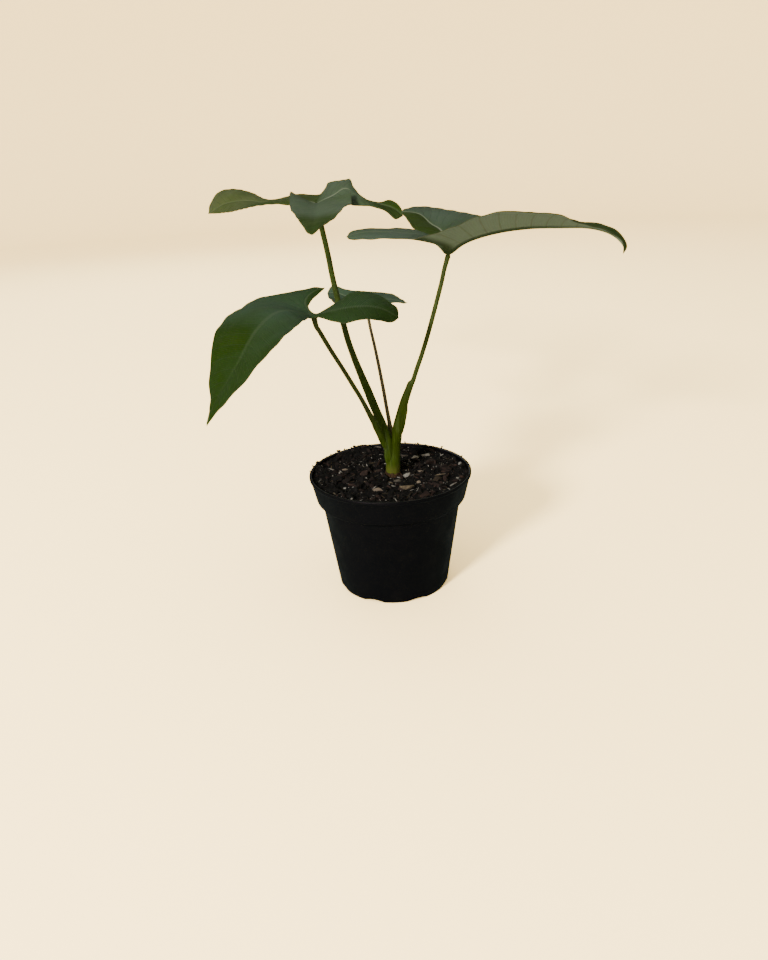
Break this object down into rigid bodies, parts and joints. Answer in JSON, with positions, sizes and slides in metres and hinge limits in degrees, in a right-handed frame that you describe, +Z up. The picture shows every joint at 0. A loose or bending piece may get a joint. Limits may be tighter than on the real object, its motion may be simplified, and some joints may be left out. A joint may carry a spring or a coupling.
{
  "type": "potted thaumatophyllum spruceanum",
  "caption": "Young potted Thaumatophyllum spruceanum: glossy lobed leaves on slender stalks that rise from a short crown in soil, in a small black plastic nursery pot.",
  "frame": {"origin": "centre of the pot's flat underside, on the surface that the pot stands on", "axes": "+Z up, along the pot's axis; +Y away from the picture's camera, towards the rear leaves; +X to the camera's right"},
  "size_m": [0.2816, 0.3946, 0.2494],
  "materials": {
    "pot": "satin",
    "soil": "matte",
    "crown": "satin",
    "stalk": "satin",
    "leaf": "satin"
  },
  "bodies": {
    "root": {"pot": "pot", "soil": "soil", "crown": "crown", "stalk_rear_left": "stalk", "stalk_right": "stalk", "stalk_front_left": "stalk", "stalk_rear": "stalk", "leaf_rear_left": "leaf", "leaf_right": "leaf", "leaf_front_left": "leaf", "leaf_rear": "leaf"}
  },
  "joints": []
}
